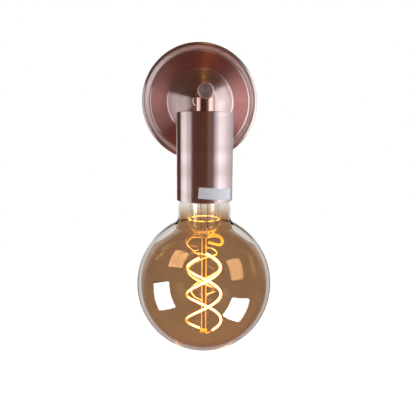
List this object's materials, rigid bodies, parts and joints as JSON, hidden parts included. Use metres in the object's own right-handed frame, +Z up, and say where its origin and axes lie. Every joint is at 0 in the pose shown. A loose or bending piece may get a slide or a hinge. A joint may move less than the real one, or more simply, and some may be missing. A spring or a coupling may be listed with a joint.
{
  "type": "wall light",
  "caption": "Short arm wall light: a round domed wall plate, a straight arm, a swivel knuckle and a cylindrical lampholder cup with a globe lamp.",
  "frame": {"origin": "centre of the wall plate's back face, on the wall and on the arm's axis", "axes": "+X to the right as seen from the room, +Y into the wall, +Z up; the arm points to -Y and the lampholder hangs to -Z"},
  "size_m": [0.1, 0.1357, 0.2305],
  "materials": {
    "copper_satin": "brushed copper plate on steel",
    "copper_bright": "polished copper plate on steel",
    "zinc_steel": "zinc plate",
    "bright_steel": "plain",
    "brass": "plain",
    "nickel_brass": "nickel plate",
    "black_rubber": "matt",
    "white_moulding": "matt",
    "white_ceramic": "glazed",
    "foil": "foil label, bare",
    "cap_alloy": "bright",
    "cap_glass": "black glass",
    "amber_glass": "clear with an amber coat inside",
    "clear_glass": "clear",
    "lamp_wire": "plain",
    "led_strip": "silicone over LED chips",
    "circuit_board": "matt",
    "brown_wire": "insulation",
    "blue_wire": "insulation",
    "earth_wire": "insulation"
  },
  "bodies": {
    "wall_assembly": {"wall_plate": "copper_satin", "mounting_bracket": "zinc_steel", "rim_screws": "copper_bright", "cable_bush": "black_rubber", "terminal_block": "white_moulding", "terminal_barrels": "brass", "terminal_screws": "zinc_steel", "terminal_fixing_screw": "zinc_steel", "earth_screw": "brass", "earth_ring_terminal": "brass", "earth_lead": "earth_wire", "live_lead_arm": "brown_wire", "neutral_lead_arm": "blue_wire", "arm_bush": "white_moulding", "arm_locknut": "zinc_steel", "lock_washer": "zinc_steel", "arm_collar": "copper_bright", "arm_tube": "copper_satin", "pivot_bolt": "bright_steel", "thrust_washer": "brass", "spring_washer": "bright_steel", "pivot_nut": "brass"},
    "swivel_head": {"knuckle_body": "copper_bright", "pivot_cap": "copper_satin", "holder_nipple": "zinc_steel", "nipple_washer": "zinc_steel", "nipple_nut": "zinc_steel", "lampholder_cup": "copper_satin", "socket_cap": "white_moulding", "socket_body": "white_ceramic", "screw_shell": "nickel_brass", "centre_contact": "brass", "contact_rivets": "brass", "socket_terminals": "brass", "socket_terminal_screws": "zinc_steel", "live_lead_head": "brown_wire", "neutral_lead_head": "blue_wire", "rating_sticker": "foil"},
    "lamp_tip": {"lamp_tip_contact": "brass"},
    "lamp": {"lamp_insulator": "cap_glass", "lamp_cap_shell": "cap_alloy", "driver_board": "circuit_board", "bulb_glass": "amber_glass", "glass_mount": "clear_glass", "lead_in_wires": "lamp_wire", "support_rods": "lamp_wire", "filament_clip": "lamp_wire", "led_strip_left": "led_strip", "led_strip_right": "led_strip", "strip_head_wires": "lamp_wire", "strip_foot_wires": "lamp_wire"}
  },
  "joints": [
    {"name": "head_swivel", "type": "hinge", "parent": "wall_assembly", "child": "swivel_head", "pos_m": [0, -0.088, 0], "axis": [0, 1, 0], "range_deg": [-165, 165]},
    {"name": "lamp_travel", "type": "slide", "parent": "swivel_head", "child": "lamp_tip", "axis": [0, 0, -1], "range_m": [0, 0.0109]},
    {"name": "lamp_turn", "type": "hinge", "parent": "lamp_tip", "child": "lamp", "pos_m": [0, -0.088, -0.055], "axis": [0, 0, -1], "range_deg": [0, 1080]}
  ],
  "couplings": [
    {"joint": "lamp_travel", "follows": "lamp_turn", "m_per_rad": 0.0005775}
  ]
}
